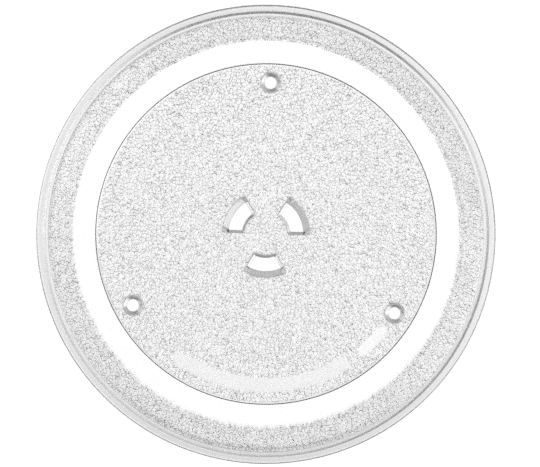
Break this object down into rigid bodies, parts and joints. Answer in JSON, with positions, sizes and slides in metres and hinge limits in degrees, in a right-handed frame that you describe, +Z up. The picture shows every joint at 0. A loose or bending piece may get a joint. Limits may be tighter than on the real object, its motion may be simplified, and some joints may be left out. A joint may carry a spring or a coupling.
{
  "type": "microwave turntable plate",
  "caption": "Clear pressed-glass microwave turntable plate: shallow dish with a flared rim, and below it a pebbled disc, a smooth roller track, feet and a lobed drive coupling.",
  "frame": {"origin": "on the plate's axis, in the plane of the feet", "axes": "+Z up along the plate's axis, out of the dish; +Y towards one of the feet"},
  "size_m": [0.255, 0.255, 0.0233],
  "materials": {
    "glass": "clear pressed glass, fire-polished above, pebbled below with smooth track, pads, lobes and feet"
  },
  "bodies": {
    "root": {"turntable_plate": "glass"}
  },
  "joints": []
}
